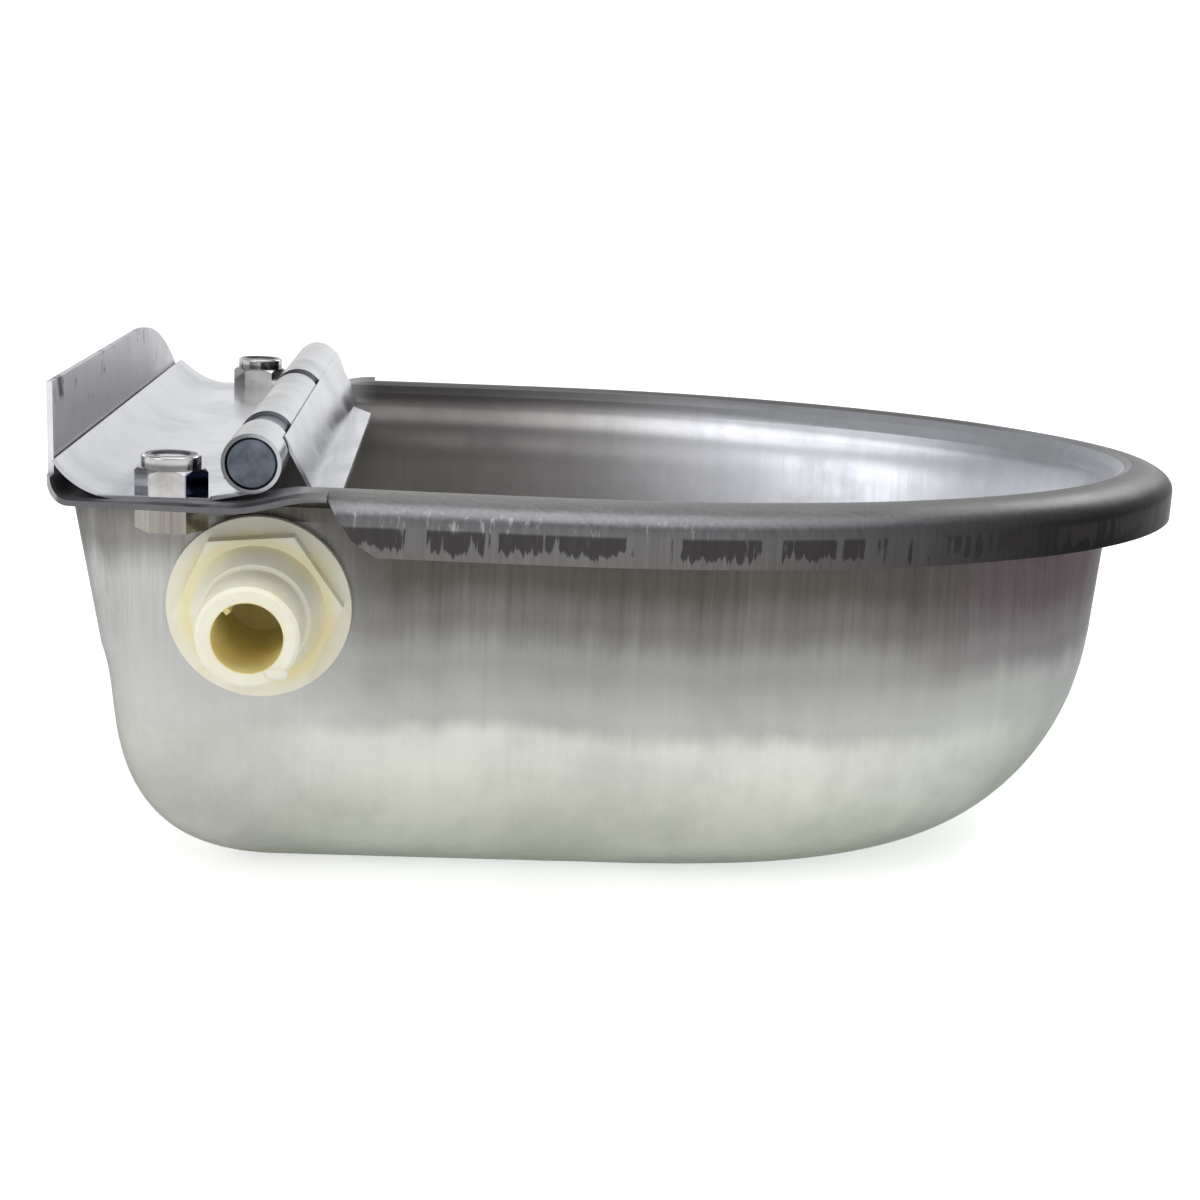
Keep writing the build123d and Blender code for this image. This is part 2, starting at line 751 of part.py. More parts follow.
def float_shell():
    """Hollow float, open at the arm's end."""
    low, high = float_start + float_cap_t, float_start + float_length
    shell = float_block(low, high, 0)
    shell = fillet(shell.faces().sort_by(Axis.Z)[-1].edges(), float_round - 2 * float_wall)
    hollow = float_block(low, high - float_wall, float_wall)
    return lever_plane().location * (shell - hollow)


def float_cap():
    """Plug of the float's open end, with the boss that the arm screws into."""
    low, high = float_start, float_start + float_cap_t
    cap = float_block(low, high, 0)
    cap = fillet(cap.faces().sort_by(Axis.Z)[0].edges(), float_wall)
    cap += float_block(high, high + float_cap_t, float_wall + float_fit)
    cap += disc(float_boss_r, high, low + float_boss_length)
    return lever_plane().location * (cap - disc(arm_r + arm_fit, low, arm_end))


builders = {
    "bowl": bowl,
    "cover_plate": cover_plate,
    "cover_flap": cover_flap,
    "hinge_pin": hinge_pin,
    "cover_bolts": cover_bolts,
    "cover_nuts": cover_nuts,
    "nut_collars": nut_collars,
    "valve_body": valve_body,
    "wall_gasket": wall_gasket,
    "inlet_lock_nut": inlet_lock_nut,
    "orifice_seat": orifice_seat,
    "seat_ring": seat_ring,
    "valve_plunger": valve_plunger,
    "plunger_seal": plunger_seal,
    "lever_pin": lever_pin,
    "split_pin": split_pin,
    "float_lever": float_lever,
    "float_arm": float_arm,
    "arm_nuts": arm_nuts,
    "float_shell": float_shell,
    "float_cap": float_cap,
}

os.makedirs("parts", exist_ok=True)
for name, build in builders.items():
    made = build()
    solids = made if isinstance(made, list) else [made]
    solids = [solid for shape in solids for solid in shape.solids()]
    export_step(Compound(children=solids) if len(solids) > 1 else solids[0], f"parts/{name}.step")
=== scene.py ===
import math
import bpy
import numpy as np
from mathutils import Matrix


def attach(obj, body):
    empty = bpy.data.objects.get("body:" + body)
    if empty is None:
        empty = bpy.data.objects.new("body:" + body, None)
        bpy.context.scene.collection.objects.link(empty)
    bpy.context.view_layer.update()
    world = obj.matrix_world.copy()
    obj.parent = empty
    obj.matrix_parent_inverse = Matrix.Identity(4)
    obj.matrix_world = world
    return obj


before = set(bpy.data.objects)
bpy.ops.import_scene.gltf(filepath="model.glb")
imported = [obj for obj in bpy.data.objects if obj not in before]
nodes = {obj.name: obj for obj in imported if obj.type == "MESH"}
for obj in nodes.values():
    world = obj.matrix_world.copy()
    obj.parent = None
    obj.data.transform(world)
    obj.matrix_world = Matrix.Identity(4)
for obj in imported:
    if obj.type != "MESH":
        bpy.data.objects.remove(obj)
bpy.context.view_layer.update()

# View of the bowl from the water inlet's side, a little above the rim, with a short
# telephoto lens. The shift holds the lens's axis low and left of the middle. Lengths are in
# metres, angles in radians, and the lens's sizes in pixels of a square picture.
yaw, pitch, roll = 0.058, 0.274, 0.047
eye = np.array([-0.020669, -0.540671, 0.161926])
picture_side, focal_length = 1200, 2178.805
axis_across, axis_down = 578.242, 745.71
forward = np.array([math.sin(yaw) * math.cos(pitch), math.cos(yaw) * math.cos(pitch), -math.sin(pitch)])
sideways = np.array([math.cos(yaw), -math.sin(yaw), 0.0])
upright = np.cross(sideways, forward)
lens = bpy.data.cameras.new("view")
lens.sensor_width = 36.0
lens.lens = focal_length / picture_side * lens.sensor_width
lens.shift_x = (picture_side / 2 - axis_across) / picture_side
lens.shift_y = (axis_down - picture_side / 2) / picture_side
lens.clip_start = 0.01


def stand(name, data, right, up, away, place):
    """Object whose axes point right, up and back along its own line of sight."""
    thing = bpy.data.objects.new(name, data)
    bpy.context.scene.collection.objects.link(thing)
    pose = np.eye(4)
    pose[:3] = np.column_stack([right, up, away, place])
    thing.matrix_world = Matrix(pose.tolist())
    return thing


right = math.cos(roll) * sideways + math.sin(roll) * upright
up = math.cos(roll) * upright - math.sin(roll) * sideways
bpy.context.scene.camera = stand("view", lens, right, up, -forward, eye)
bpy.context.scene.view_settings.view_transform = "Standard"


# Room: white where it is looked at and where steel mirrors it level, and dimmer overhead.
# A wide soft lamp hangs above the bowl, and smaller ones stand front left and far right.
def add(tree, kind, **values):
    """New shader node with the given settings and input values."""
    node = tree.nodes.new("ShaderNode" + kind)
    for name, value in values.items():
        if name in node.inputs:
            node.inputs[name].default_value = value
        else:
            setattr(node, name, value)
    return node


def join(tree, *pairs):
    """Links outputs to inputs, given in pairs."""
    for out, socket in pairs:
        tree.links.new(out, socket)


world = bpy.data.worlds.new("studio")
world.use_nodes = True
bpy.context.scene.world = world
tree = world.node_tree
tree.nodes.clear()
height = add(tree, "SeparateXYZ")
ceiling = add(tree, "MapRange")
for socket, value in zip(("From Min", "From Max", "To Min", "To Max"), (0.15, 0.75, 1.0, 0.42)):
    ceiling.inputs[socket].default_value = value
shown = add(tree, "Mix", data_type="FLOAT", B=1.0)
room = add(tree, "Background", Color=(1, 1, 1, 1))
join(
    tree,
    (add(tree, "TexCoord").outputs["Generated"], height.inputs[0]),
    (height.outputs["Z"], ceiling.inputs["Value"]),
    (add(tree, "LightPath").outputs["Is Camera Ray"], shown.inputs["Factor"]),
    (ceiling.outputs["Result"], shown.inputs["A"]),
    (shown.outputs["Result"], room.inputs["Strength"]),
    (room.outputs[0], add(tree, "OutputWorld").inputs[0]),
)

for name, place, aim, size, power in (
    ("overhead", (0.1, -0.1, 1.1), (0, 0, 0), (1.2, 0.9), 5.0),
    ("front_left", (-0.9, -0.9, 0.7), (0, 0, 0.03), (0.7, 0.7), 2.5),
    ("far_right", (0.9, 0.9, 0.8), (0, 0, 0.03), (0.6, 0.6), 4.0),
):
    lamp = bpy.data.lights.new(name, "AREA")
    lamp.shape = "RECTANGLE"
    lamp.size, lamp.size_y = size
    lamp.energy = power
    away = np.array(place) - np.array(aim)
    away = away / np.linalg.norm(away)
    side = np.cross((0.0, 1.0, 0.001), away)
    side = side / np.linalg.norm(side)
    stand(name, lamp, side, np.cross(away, side), away, place)

# Floor: matt white board under the bowl. It glows where it is looked at or mirrored, so that
# it stays white to its far edge, and still takes the bowl's own soft shadow.
half_side, below = 3.0, -0.0003
seen_glow, mirrored_glow = 0.55, 0.22
board = bpy.data.meshes.new("studio_floor")
corners = [(-1, -1), (1, -1), (1, 1), (-1, 1)]
board.from_pydata([(half_side * a, half_side * b, below) for a, b in corners], [], [(0, 1, 2, 3)])
floor = bpy.data.objects.new("studio_floor", board)
bpy.context.scene.collection.objects.link(floor)
floor_paint = bpy.data.materials.new("floor_paint")
floor_paint.use_nodes = True
tree = floor_paint.node_tree
paint = tree.nodes["Principled BSDF"]
paint.inputs["Base Color"].default_value = (0.86, 0.86, 0.86, 1)
paint.inputs["Roughness"].default_value = 0.9
paint.inputs["Specular IOR Level"].default_value = 0.0
paint.inputs["Emission Color"].default_value = (1, 1, 1, 1)
path = add(tree, "LightPath")
mirrored = add(tree, "Math", operation="MAXIMUM")
faint = add(tree, "Math", operation="MULTIPLY")
faint.inputs[1].default_value = mirrored_glow
glow = add(tree, "Math", operation="MULTIPLY_ADD")
glow.inputs[1].default_value = seen_glow
join(
    tree,
    (path.outputs["Is Glossy Ray"], mirrored.inputs[0]),
    (path.outputs["Is Transmission Ray"], mirrored.inputs[1]),
    (mirrored.outputs[0], faint.inputs[0]),
    (path.outputs["Is Camera Ray"], glow.inputs[0]),
    (faint.outputs[0], glow.inputs[2]),
    (glow.outputs[0], paint.inputs["Emission Strength"]),
)
board.materials.append(floor_paint)


# Bowl: one stainless sheet, deep drawn, with its rim rolled over and turned down, and a deck
# and an upstand pressed at its back. Drawing leaves fine upright lines in the wall, and the
# rim's lip carries a row of dark oil smears with drips.
def figure(tree, kind, a, b=0.0, c=0.0):
    """Math node on up to three sockets or numbers."""
    node = add(tree, "Math", operation=kind)
    for socket, value in zip(node.inputs, (a, b, c)):
        if isinstance(value, float):
            socket.default_value = value
        else:
            tree.links.new(value, socket)
    return node.outputs[0]


def product(tree, first, *others):
    """All the given sockets or numbers multiplied together."""
    for other in others:
        first = figure(tree, "MULTIPLY", first, other)
    return first


def step_of(tree, value, low, high, start=0.0, end=1.0):
    """Smooth step from start to end as value goes from low to high."""
    node = add(tree, "MapRange", interpolation_type="SMOOTHSTEP")
    for socket, number in zip(("From Min", "From Max", "To Min", "To Max"), (low, high, start, end)):
        node.inputs[socket].default_value = number
    tree.links.new(value, node.inputs["Value"])
    return node.outputs["Result"]


def tint(tree, share, a, b):
    """Mix of two colours, each a socket or numbers, by a share that varies over the surface."""
    node = add(tree, "Mix", data_type="RGBA")
    tree.links.new(share, node.inputs[0])
    for socket, value in zip((node.inputs[6], node.inputs[7]), (a, b)):
        if isinstance(value, tuple):
            socket.default_value = (*value, 1)
        else:
            tree.links.new(value, socket)
    return node.outputs[2]


def scaled(tree, colour, share):
    """Colour or direction made stronger or weaker by a share that varies over the surface."""
    node = add(tree, "VectorMath", operation="SCALE")
    join(tree, (colour, node.inputs[0]), (share, node.inputs["Scale"]))
    return node.outputs[0]


def shaded(tree, colour, mask, change):
    """Colour changed by a share of itself where the mask is full: -0.6 leaves 40 %."""
    return scaled(tree, colour, figure(tree, "MULTIPLY_ADD", mask, change, 1.0))


def graded(tree, value, levels):
    """Colour ramp from pairs of a position between 0 and 1 and a colour."""
    node = add(tree, "ValToRGB")
    node.color_ramp.interpolation = "EASE"
    for number, (at, colour) in enumerate(levels):
        stops = node.color_ramp.elements
        stop = stops[number] if number < 2 else stops.new(at)
        stop.position, stop.color = at, (*colour, 1)
    tree.links.new(value, node.inputs[0])
    return node.outputs[0]


def split(tree, vector):
    """The three parts of a vector."""
    node = add(tree, "SeparateXYZ")
    tree.links.new(vector, node.inputs[0])
    return node.outputs


def new_group(title, numbers):
    """Empty shader group with a Vector input, number inputs and a Value output."""
    group = bpy.data.node_groups.new(title, "ShaderNodeTree")
    group.interface.new_socket("Vector", in_out="INPUT", socket_type="NodeSocketVector")
    for name, value in numbers.items():
        socket = group.interface.new_socket(name, in_out="INPUT", socket_type="NodeSocketFloat")
        socket.default_value = value
    group.interface.new_socket("Value", in_out="OUTPUT", socket_type="NodeSocketFloat")
    inside, outside = group.nodes.new("NodeGroupInput"), group.nodes.new("NodeGroupOutput")
    return group, inside.outputs, outside.inputs["Value"]


def use(tree, group, vector, **numbers):
    """Places a group in a material with its own values."""
    node = tree.nodes.new("ShaderNodeGroup")
    node.node_tree = group
    tree.links.new(vector, node.inputs["Vector"])
    for name, value in numbers.items():
        node.inputs[name].default_value = value
    return node.outputs[0]


def new_material(title, **numbers):
    """Material with a Principled shader: the material, its tree, its shader, object coordinates."""
    material = bpy.data.materials.new(title)
    material.use_nodes = True
    tree = material.node_tree
    shader = tree.nodes["Principled BSDF"]
    for name, value in numbers.items():
        shader.inputs[name.replace("_", " ")].default_value = value
    return material, tree, shader, add(tree, "TexCoord").outputs["Object"]


def dress(material, *names):
    """Gives CAD nodes their material."""
    for name in names:
        data = nodes[name].data
        data.materials.clear()
        data.materials.append(material)


# Lines left by drawing or rolling: noise squeezed across and stretched along the piece's Z.
drawn_lines, given, result = new_group(
    "drawn_lines", {"Fineness": 700.0, "Stretch": 25.0, "Contrast": 0.5}
)
axes = split(drawn_lines, given["Vector"])
squeezed = add(drawn_lines, "CombineXYZ")
for axis, factor in (("X", "Fineness"), ("Y", "Fineness"), ("Z", "Stretch")):
    drawn_lines.links.new(product(drawn_lines, axes[axis], given[factor]), squeezed.inputs[axis])
lines = add(drawn_lines, "TexNoise", Scale=1.0, Detail=5.0, Roughness=0.6)
spread = add(drawn_lines, "MapRange")
low = figure(drawn_lines, "MULTIPLY_ADD", given["Contrast"], -0.3, 0.5)
high = figure(drawn_lines, "MULTIPLY_ADD", given["Contrast"], 0.3, 0.5)
join(
    drawn_lines,
    (squeezed.outputs[0], lines.inputs["Vector"]),
    (lines.outputs["Fac"], spread.inputs["Value"]),
    (figure(drawn_lines, "SUBTRACT", 0.8, high), spread.inputs["From Min"]),
    (figure(drawn_lines, "SUBTRACT", 1.2, low), spread.inputs["From Max"]),
    (spread.outputs["Result"], result),
)

# Cloudy marks of handling: soft noise cut between two levels.
smudges, given, result = new_group("smudges", {"Size": 25.0, "Low": 0.4, "High": 0.65})
clouds = add(smudges, "TexNoise", Detail=6.0, Roughness=0.62)
cut = add(smudges, "MapRange", interpolation_type="SMOOTHSTEP")
join(
    smudges,
    (given["Vector"], clouds.inputs["Vector"]),
    (given["Size"], clouds.inputs["Scale"]),
    (clouds.outputs["Fac"], cut.inputs["Value"]),
    (given["Low"], cut.inputs["From Min"]),
    (given["High"], cut.inputs["From Max"]),
    (cut.outputs["Result"], result),
)

wall_top, crest = 0.09, 0.0899
widest_x, rim_length, rim_half_width, rim_power = 0.0105, 0.144, 0.110, 1.88
roll_bottom, rolls_per_metre = 0.076, 70.0
pale_low, pale_high, smear_top, smear_bottom, drip_depth = 0.0830, 0.0884, 0.0846, 0.0828, 0.0052
drawn_sheet, tree, shader, place = new_material("drawn_sheet", Metallic=1.0)
shader.inputs["Specular Tint"].default_value = (0.62, 0.62, 0.62, 1)
x, y, z = split(tree, place)
fine = use(tree, drawn_lines, place, Fineness=950.0, Stretch=22.0, Contrast=0.55)
coarse = use(tree, drawn_lines, place, Fineness=190.0, Stretch=6.0, Contrast=0.6)
cloud = use(tree, smudges, place, Size=42.0, Low=0.35, High=0.7)
wide_cloud = use(tree, smudges, place, Size=16.0, Low=0.35, High=0.68)

# The outer wall in height bands of painted reflection: dull and dark under the rim where the room above is
# mirrored, paler and a little green below where the floor is mirrored, with one ramp each for the sides,
# the nose and the back. The back's ramp also darkens just under the deck as painted shade.
uneven = figure(tree, "MULTIPLY_ADD", wide_cloud, 0.0035, z)
uneven = figure(tree, "MULTIPLY_ADD", coarse, -0.004, uneven)
level = figure(tree, "DIVIDE", uneven, wall_top)
# Painted reflection: a dark band high up and a pale band low down, with wavy edges between them.
wall = graded(tree, level, (
    (0.00, (0.60, 0.65, 0.57)), (0.18, (0.66, 0.68, 0.60)), (0.37, (0.66, 0.665, 0.61)),
    (0.43, (0.46, 0.465, 0.44)), (0.58, (0.33, 0.33, 0.31)), (0.68, (0.18, 0.175, 0.162)),
    (0.78, (0.100, 0.096, 0.084)), (0.95, (0.080, 0.077, 0.068)),
))
nose_wall_painted_reflection = graded(tree, level, (
    (0.00, (0.52, 0.58, 0.51)), (0.34, (0.47, 0.51, 0.46)), (0.50, (0.40, 0.41, 0.40)),
    (0.60, (0.20, 0.19, 0.195)), (0.74, (0.11, 0.088, 0.098)), (0.95, (0.085, 0.07, 0.078)),
))
back_wall_painted_light = graded(tree, level, (
    (0.00, (0.58, 0.60, 0.54)), (0.35, (0.60, 0.60, 0.565)), (0.50, (0.56, 0.56, 0.55)),
    (0.76, (0.50, 0.50, 0.49)), (0.86, (0.26, 0.255, 0.245)), (0.96, (0.14, 0.13, 0.12)),
))
wall = tint(tree, step_of(tree, x, 0.055, 0.118), wall, nose_wall_painted_reflection)
wall = tint(tree, step_of(tree, x, -0.030, -0.072), wall, back_wall_painted_light)
lined = step_of(tree, z, 0.046, 0.070, 0.07, 0.50)
wall = scaled(tree, wall, figure(tree, "MULTIPLY_ADD", figure(tree, "SUBTRACT", fine, 0.5), lined, 1.0))
wall = shaded(tree, wall, product(tree, figure(tree, "SUBTRACT", coarse, 0.5), lined), 0.8)
blotched = step_of(tree, z, 0.055, 0.030, 0.05, 0.16)
wall = shaded(tree, wall, product(tree, figure(tree, "SUBTRACT", 0.5, cloud), blotched), 1.0)

# The inside, in painted light: dark and brownish at the back as painted shade under the cover, pale
# blue-grey towards the nose as painted reflection. It is told from the outside by whether the surface
# faces the bowl's middle.
normal = add(tree, "NewGeometry").outputs["Normal"]
facing = split(tree, normal)
outward = product(tree, figure(tree, "SUBTRACT", x, 0.01), facing["X"])
outward = figure(tree, "MULTIPLY_ADD", y, facing["Y"], outward)
is_inside = step_of(tree, outward, 0.002, -0.002)
# Painted light along x: painted shade at the back, painted reflection towards the nose.
inside = graded(tree, figure(tree, "MULTIPLY_ADD", x, 4.4, 0.35), (
    (0.00, (0.20, 0.20, 0.205)), (0.16, (0.33, 0.315, 0.305)), (0.36, (0.40, 0.385, 0.38)),
    (0.62, (0.62, 0.63, 0.67)), (0.90, (0.66, 0.68, 0.73)),
))
inside = scaled(tree, inside, figure(tree, "MULTIPLY_ADD", cloud, -0.2, 1.1))
inside = scaled(tree, inside, figure(tree, "MULTIPLY_ADD", coarse, 0.2, 0.9))
# Painted shade: the inside's flare is darkened high up towards the back.
flare_painted_shade = product(tree, step_of(tree, z, 0.066, 0.080), step_of(tree, x, 0.060, -0.03))
inside = shaded(tree, inside, flare_painted_shade, -0.65)
sheet = tint(tree, is_inside, wall, inside)

# The rim, everything high up outside a superellipse in plan: (past the widest place / length) to the
# power, plus (|y| / half width) to the power. Its ramps up the roll are painted light: a painted highlight
# along the crest over a darker lip, going near black towards the nose as painted shade.
past = figure(tree, "MAXIMUM", figure(tree, "SUBTRACT", x, widest_x), 0.0)
along = figure(tree, "POWER", figure(tree, "DIVIDE", past, rim_length), rim_power)
across = figure(tree, "DIVIDE", figure(tree, "ABSOLUTE", y), rim_half_width)
plan = figure(tree, "ADD", along, figure(tree, "POWER", across, rim_power))
on_rim = product(
    tree, step_of(tree, plan, 0.74, 0.80), step_of(tree, z, 0.0765, 0.0775),
    step_of(tree, x, -0.058, -0.040), step_of(tree, outward, -0.06, -0.03),
)
up_the_roll = product(tree, figure(tree, "SUBTRACT", z, roll_bottom), rolls_per_metre)
# Painted highlight at the top of the roll, darker lip below.
rim_sides_painted_light = graded(tree, up_the_roll, (
    (0.00, (0.17, 0.165, 0.16)), (0.62, (0.17, 0.165, 0.165)), (0.72, (0.20, 0.20, 0.215)),
    (0.88, (0.25, 0.25, 0.26)), (0.96, (0.40, 0.395, 0.39)),
))
rim_nose_painted_shade = graded(tree, up_the_roll, (
    (0.00, (0.010, 0.009, 0.009)), (0.62, (0.014, 0.013, 0.013)),
    (0.80, (0.05, 0.05, 0.05)), (0.96, (0.22, 0.22, 0.22)),
))
rim = tint(tree, step_of(tree, x, 0.0, 0.125), rim_sides_painted_light, rim_nose_painted_shade)
rim = scaled(tree, rim, figure(tree, "MULTIPLY_ADD", fine, 0.5, 0.75))
# Painted shade: the rim is darkened on its far side.
far_rim_painted_shade = product(tree, step_of(tree, y, 0.02, 0.08), step_of(tree, x, 0.12, 0.03))
rim = shaded(tree, rim, far_rim_painted_shade, -0.6)

# Pale runs on the roll, and the row of dark smears, straight above and dripping below.
runs = use(tree, drawn_lines, place, Fineness=560.0, Stretch=4.0, Contrast=0.15)
pale_runs = product(
    tree, step_of(tree, runs, 0.62, 0.80), step_of(tree, z, pale_low, 0.0842),
    step_of(tree, z, pale_high, 0.0860), step_of(tree, x, 0.045, 0.005), 0.7,
)
rim = tint(tree, pale_runs, rim, (0.50, 0.50, 0.51))
stretch = add(tree, "VectorMath", operation="MULTIPLY")
stretch.inputs[1].default_value = (125, 125, 30)
patches = add(tree, "TexNoise", Scale=1.0, Detail=4.0, Roughness=0.6)
join(tree, (place, stretch.inputs[0]), (stretch.outputs[0], patches.inputs["Vector"]))
broken = figure(tree, "MULTIPLY_ADD", runs, 0.22, patches.outputs["Fac"])
low_edge = figure(tree, "MULTIPLY_ADD", runs, -drip_depth, smear_bottom)
smears = product(
    tree, step_of(tree, broken, 0.565, 0.60), step_of(tree, z, smear_top, 0.0838),
    step_of(tree, figure(tree, "SUBTRACT", z, low_edge), -0.0002, 0.0004), 0.78,
)
rim = tint(tree, smears, rim, (0.030, 0.028, 0.027))
sheet = tint(tree, on_rim, sheet, rim)

# The deck and its upstand, brighter than the wall, with painted shade low down towards the front edge and
# at the near end, and rubbed marks along the upstand's top.
on_deck = product(tree, step_of(tree, x, -0.046, -0.056), step_of(tree, z, 0.0845, 0.0858))
deck = tint(tree, cloud, (0.92, 0.92, 0.96), (0.78, 0.785, 0.82))
# Painted shade: darker low down towards the deck's front edge.
deck = scaled(tree, deck, step_of(tree, z, 0.087, 0.094, 0.5, 1.0))
# Painted shade at the deck's near end.
near_end_painted_shade = product(tree, step_of(tree, y, -0.1026, -0.1034), step_of(tree, z, 0.0915, 0.0895))
deck = shaded(tree, deck, near_end_painted_shade, -0.65)
rubbed = use(tree, smudges, place, Size=120.0, Low=0.58, High=0.70)
rubbed = product(tree, rubbed, step_of(tree, z, 0.100, 0.106, 0.25, 0.9))
deck = tint(tree, rubbed, deck, (0.10, 0.10, 0.10))
sheet = tint(tree, on_deck, sheet, deck)
rough = figure(tree, "MULTIPLY_ADD", fine, 0.08, 0.30)
rough = figure(tree, "MULTIPLY_ADD", cloud, 0.08, rough)
join(tree, (sheet, shader.inputs["Base Color"]), (rough, shader.inputs["Roughness"]))

# The inside leads up to the crest in one soft curve: its normal keeps its level direction and
# leans up by a share that grows with height, from a start that is larger towards the nose.
flat = add(tree, "VectorMath", operation="MULTIPLY")
flat.inputs[1].default_value = (1, 1, 0)
outline = add(tree, "VectorMath", operation="NORMALIZE")
join(tree, (normal, flat.inputs[0]), (flat.outputs[0], outline.inputs[0]))
rise = step_of(tree, z, 0.070, crest)
base_lean = step_of(tree, x, -0.02, 0.10, 0.03, 0.24)
lean = figure(tree, "MULTIPLY_ADD", figure(tree, "SUBTRACT", 1.0, base_lean), rise, base_lean)
level_part = figure(tree, "SQRT", figure(tree, "SUBTRACT", 1.0, product(tree, lean, lean)))
upward = add(tree, "CombineXYZ")
soft = add(tree, "VectorMath", operation="ADD")
in_mouth = product(
    tree, is_inside, step_of(tree, z, 0.028, 0.040), step_of(tree, x, -0.085, -0.070)
)
blend = add(tree, "Mix", data_type="VECTOR")
relief = add(tree, "Bump", Strength=0.4, Distance=0.00006)
join(
    tree,
    (lean, upward.inputs["Z"]),
    (scaled(tree, outline.outputs[0], level_part), soft.inputs[0]),
    (upward.outputs[0], soft.inputs[1]),
    (in_mouth, blend.inputs[0]),
    (normal, blend.inputs[4]),
    (soft.outputs[0], blend.inputs[5]),
    (figure(tree, "MULTIPLY_ADD", coarse, 0.5, fine), relief.inputs["Height"]),
    (blend.outputs[1], relief.inputs["Normal"]),
    (relief.outputs[0], shader.inputs["Normal"]),
)
dress(drawn_sheet, "bowl")


# Inlet: a nylon valve body pushed through the side wall from inside and held by a flanged
# nylon nut, both injection moulded. The bore is yellower than the outside.
def distance(tree, across, up):
    """Distance from an axis, by Pythagoras on two offsets."""
    return figure(tree, "SQRT", figure(tree, "MULTIPLY_ADD", up, up, product(tree, across, across)))


def bump(tree, shader, height, depth, strength):
    """Relief from a height that varies over the surface."""
    node = add(tree, "Bump", Strength=strength, Distance=depth)
    join(tree, (height, node.inputs["Height"]), (node.outputs[0], shader.inputs["Normal"]))


inlet_x, inlet_y, inlet_z, inlet_slope = -0.0630, -0.0873, 0.0630, 0.0349
hub_radius, bore_radius = 0.0172, 0.0077
nylon, tree, shader, place = new_material(
    "nylon", Roughness=0.38, Subsurface_Weight=0.3, Subsurface_Scale=0.004, IOR=1.5
)
shader.inputs["Subsurface Radius"].default_value = (1.0, 0.9, 0.6)
x, y, z = split(tree, place)
axis_z = figure(tree, "MULTIPLY_ADD", y, inlet_slope, inlet_z - inlet_y * inlet_slope)
reach = distance(tree, figure(tree, "SUBTRACT", x, inlet_x), figure(tree, "SUBTRACT", z, axis_z))
haze = use(tree, smudges, place, Size=90.0, Low=0.3, High=0.75)
skin = tint(tree, haze, (0.98, 0.95, 0.80), (0.93, 0.88, 0.68))
warm = tint(tree, haze, (0.97, 0.89, 0.58), (0.90, 0.78, 0.44))
near_hub = step_of(tree, reach, hub_radius, 0.0150)
near_hub = product(tree, near_hub, step_of(tree, y, -0.1000, -0.0920))
skin = tint(tree, near_hub, skin, warm)
bore = tint(tree, haze, (0.98, 0.88, 0.46), (0.88, 0.72, 0.28))
skin = tint(tree, step_of(tree, reach, bore_radius, 0.0072), skin, bore)
pits = add(tree, "TexNoise", Scale=900.0, Detail=3.0)
join(tree, (skin, shader.inputs["Base Color"]), (place, pits.inputs["Vector"]))
bump(tree, shader, pits.outputs["Fac"], 0.00005, 0.25)
dress(nylon, "valve_body", "inlet_lock_nut")


# Gate mark: a flattened pip of nylon left on the inlet's rim where the mould was filled and
# the sprue was cut off.
def pebble(title, centre, half, material):
    """Ellipsoid: half-axes times (cos a cos b, sin a cos b, sin b), a around, b pole to pole."""
    around, rows = 24, 13
    a = np.linspace(0, 2 * np.pi, around, endpoint=False)[None, :]
    b = np.linspace(-np.pi / 2, np.pi / 2, rows)[1:-1, None]
    ring = np.stack([np.cos(a) * np.cos(b), np.sin(a) * np.cos(b), np.sin(b) + 0 * a], axis=-1)
    unit = np.concatenate([[[0, 0, -1]], ring.reshape(-1, 3), [[0, 0, 1]]])
    points = np.array(centre) + unit * np.array(half)
    k, n = np.meshgrid(np.arange(rows - 3), np.arange(around), indexing="ij")
    nxt = (n + 1) % around
    start = 1 + k * around
    quads = np.stack([start + n, start + nxt, start + around + nxt, start + around + n], axis=-1)
    n, top = np.arange(around), len(points) - 1
    low = np.stack([0 * n, 1 + (n + 1) % around, 1 + n], axis=-1)
    high = np.stack([0 * n + top, top - around + n, top - around + (n + 1) % around], axis=-1)
    faces = quads.reshape(-1, 4).tolist() + low.tolist() + high.tolist()
    data = bpy.data.meshes.new(title)
    data.from_pydata(points.tolist(), [], faces)
    data.polygons.foreach_set("use_smooth", [True] * len(faces))
    data.materials.append(material)
    piece = bpy.data.objects.new(title, data)
    bpy.context.scene.collection.objects.link(piece)
    return piece


gate = pebble("inlet_gate_mark", (-0.0572, -0.1145, 0.0549), (0.0025, 0.0009, 0.0014), nylon)
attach(gate, "bowl")

# Float valve: the seat and the plunger are moulded in a yellowish acetal, the lever and the
# welded two-part float in a whiter plastic. They hang under the cover on the inlet's ears.
for title, colour, other, names in (
    ("moulded_seat", (0.90, 0.80, 0.42), (0.74, 0.62, 0.27), ("orifice_seat", "valve_plunger")),
    ("moulded_float", (0.82, 0.80, 0.74), (0.70, 0.68, 0.62), ("float_lever", "float_shell", "float_cap")),
):
    moulded, tree, shader, place = new_material(title, Roughness=0.45)
    haze = use(tree, smudges, place, Size=60.0, Low=0.3, High=0.7)
    tree.links.new(tint(tree, haze, colour, other), shader.inputs["Base Color"])
    dress(moulded, *names)

# Seals: the gasket behind the wall, the ring round the seat and the pad in the plunger's end,
# all cut or moulded in black nitrile rubber and slightly dusty.
rubber, tree, shader, place = new_material("seal_rubber", Roughness=0.8)
dust = use(tree, smudges, place, Size=200.0, Low=0.4, High=0.8)
dusty = tint(tree, dust, (0.012, 0.012, 0.013), (0.05, 0.05, 0.048))
tree.links.new(dusty, shader.inputs["Base Color"])
dress(rubber, "wall_gasket", "seat_ring", "plunger_seal")

